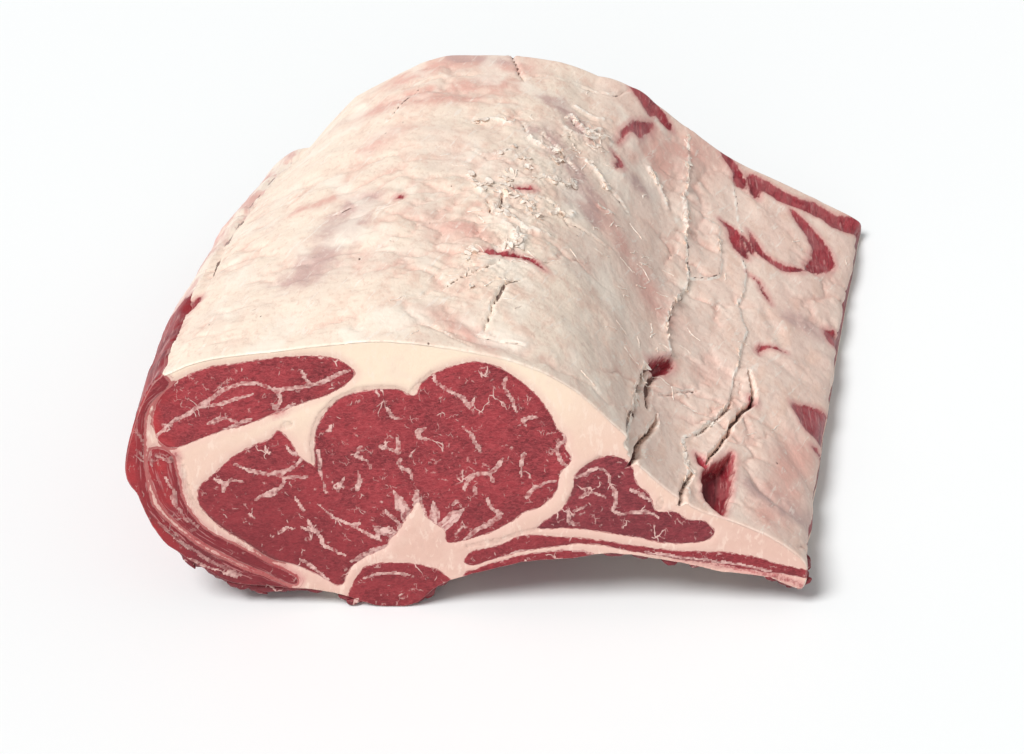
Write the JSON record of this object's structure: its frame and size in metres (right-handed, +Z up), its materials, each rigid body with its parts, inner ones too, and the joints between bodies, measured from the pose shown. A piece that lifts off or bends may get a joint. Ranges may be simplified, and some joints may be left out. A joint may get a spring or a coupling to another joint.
{
  "type": "beef rib roast",
  "caption": "Whole raw boneless beef rib roast with its fat cap, lean cut ends and a thin flap on one side, lying on its rib side.",
  "frame": {"origin": "under the middle of the roast's box, on the surface it rests on", "axes": "+Y along the muscles from the front cut to the back cut, +X across towards the thin flap, +Z up"},
  "size_m": [0.3628, 0.318, 0.1392],
  "materials": {
    "fat": null,
    "lean": null,
    "dark_lean": null
  },
  "bodies": {
    "root": {"fat_cap": "fat", "flap_fat": "fat", "eye_muscle": "lean", "cap_muscle": "lean", "complex_muscle": "lean", "under_muscle": "lean", "upper_rib_strip": "lean", "inner_side_muscle": "lean", "flap_muscle": "dark_lean", "lower_rib_strip": "dark_lean", "outer_side_muscle": "dark_lean"}
  },
  "joints": []
}
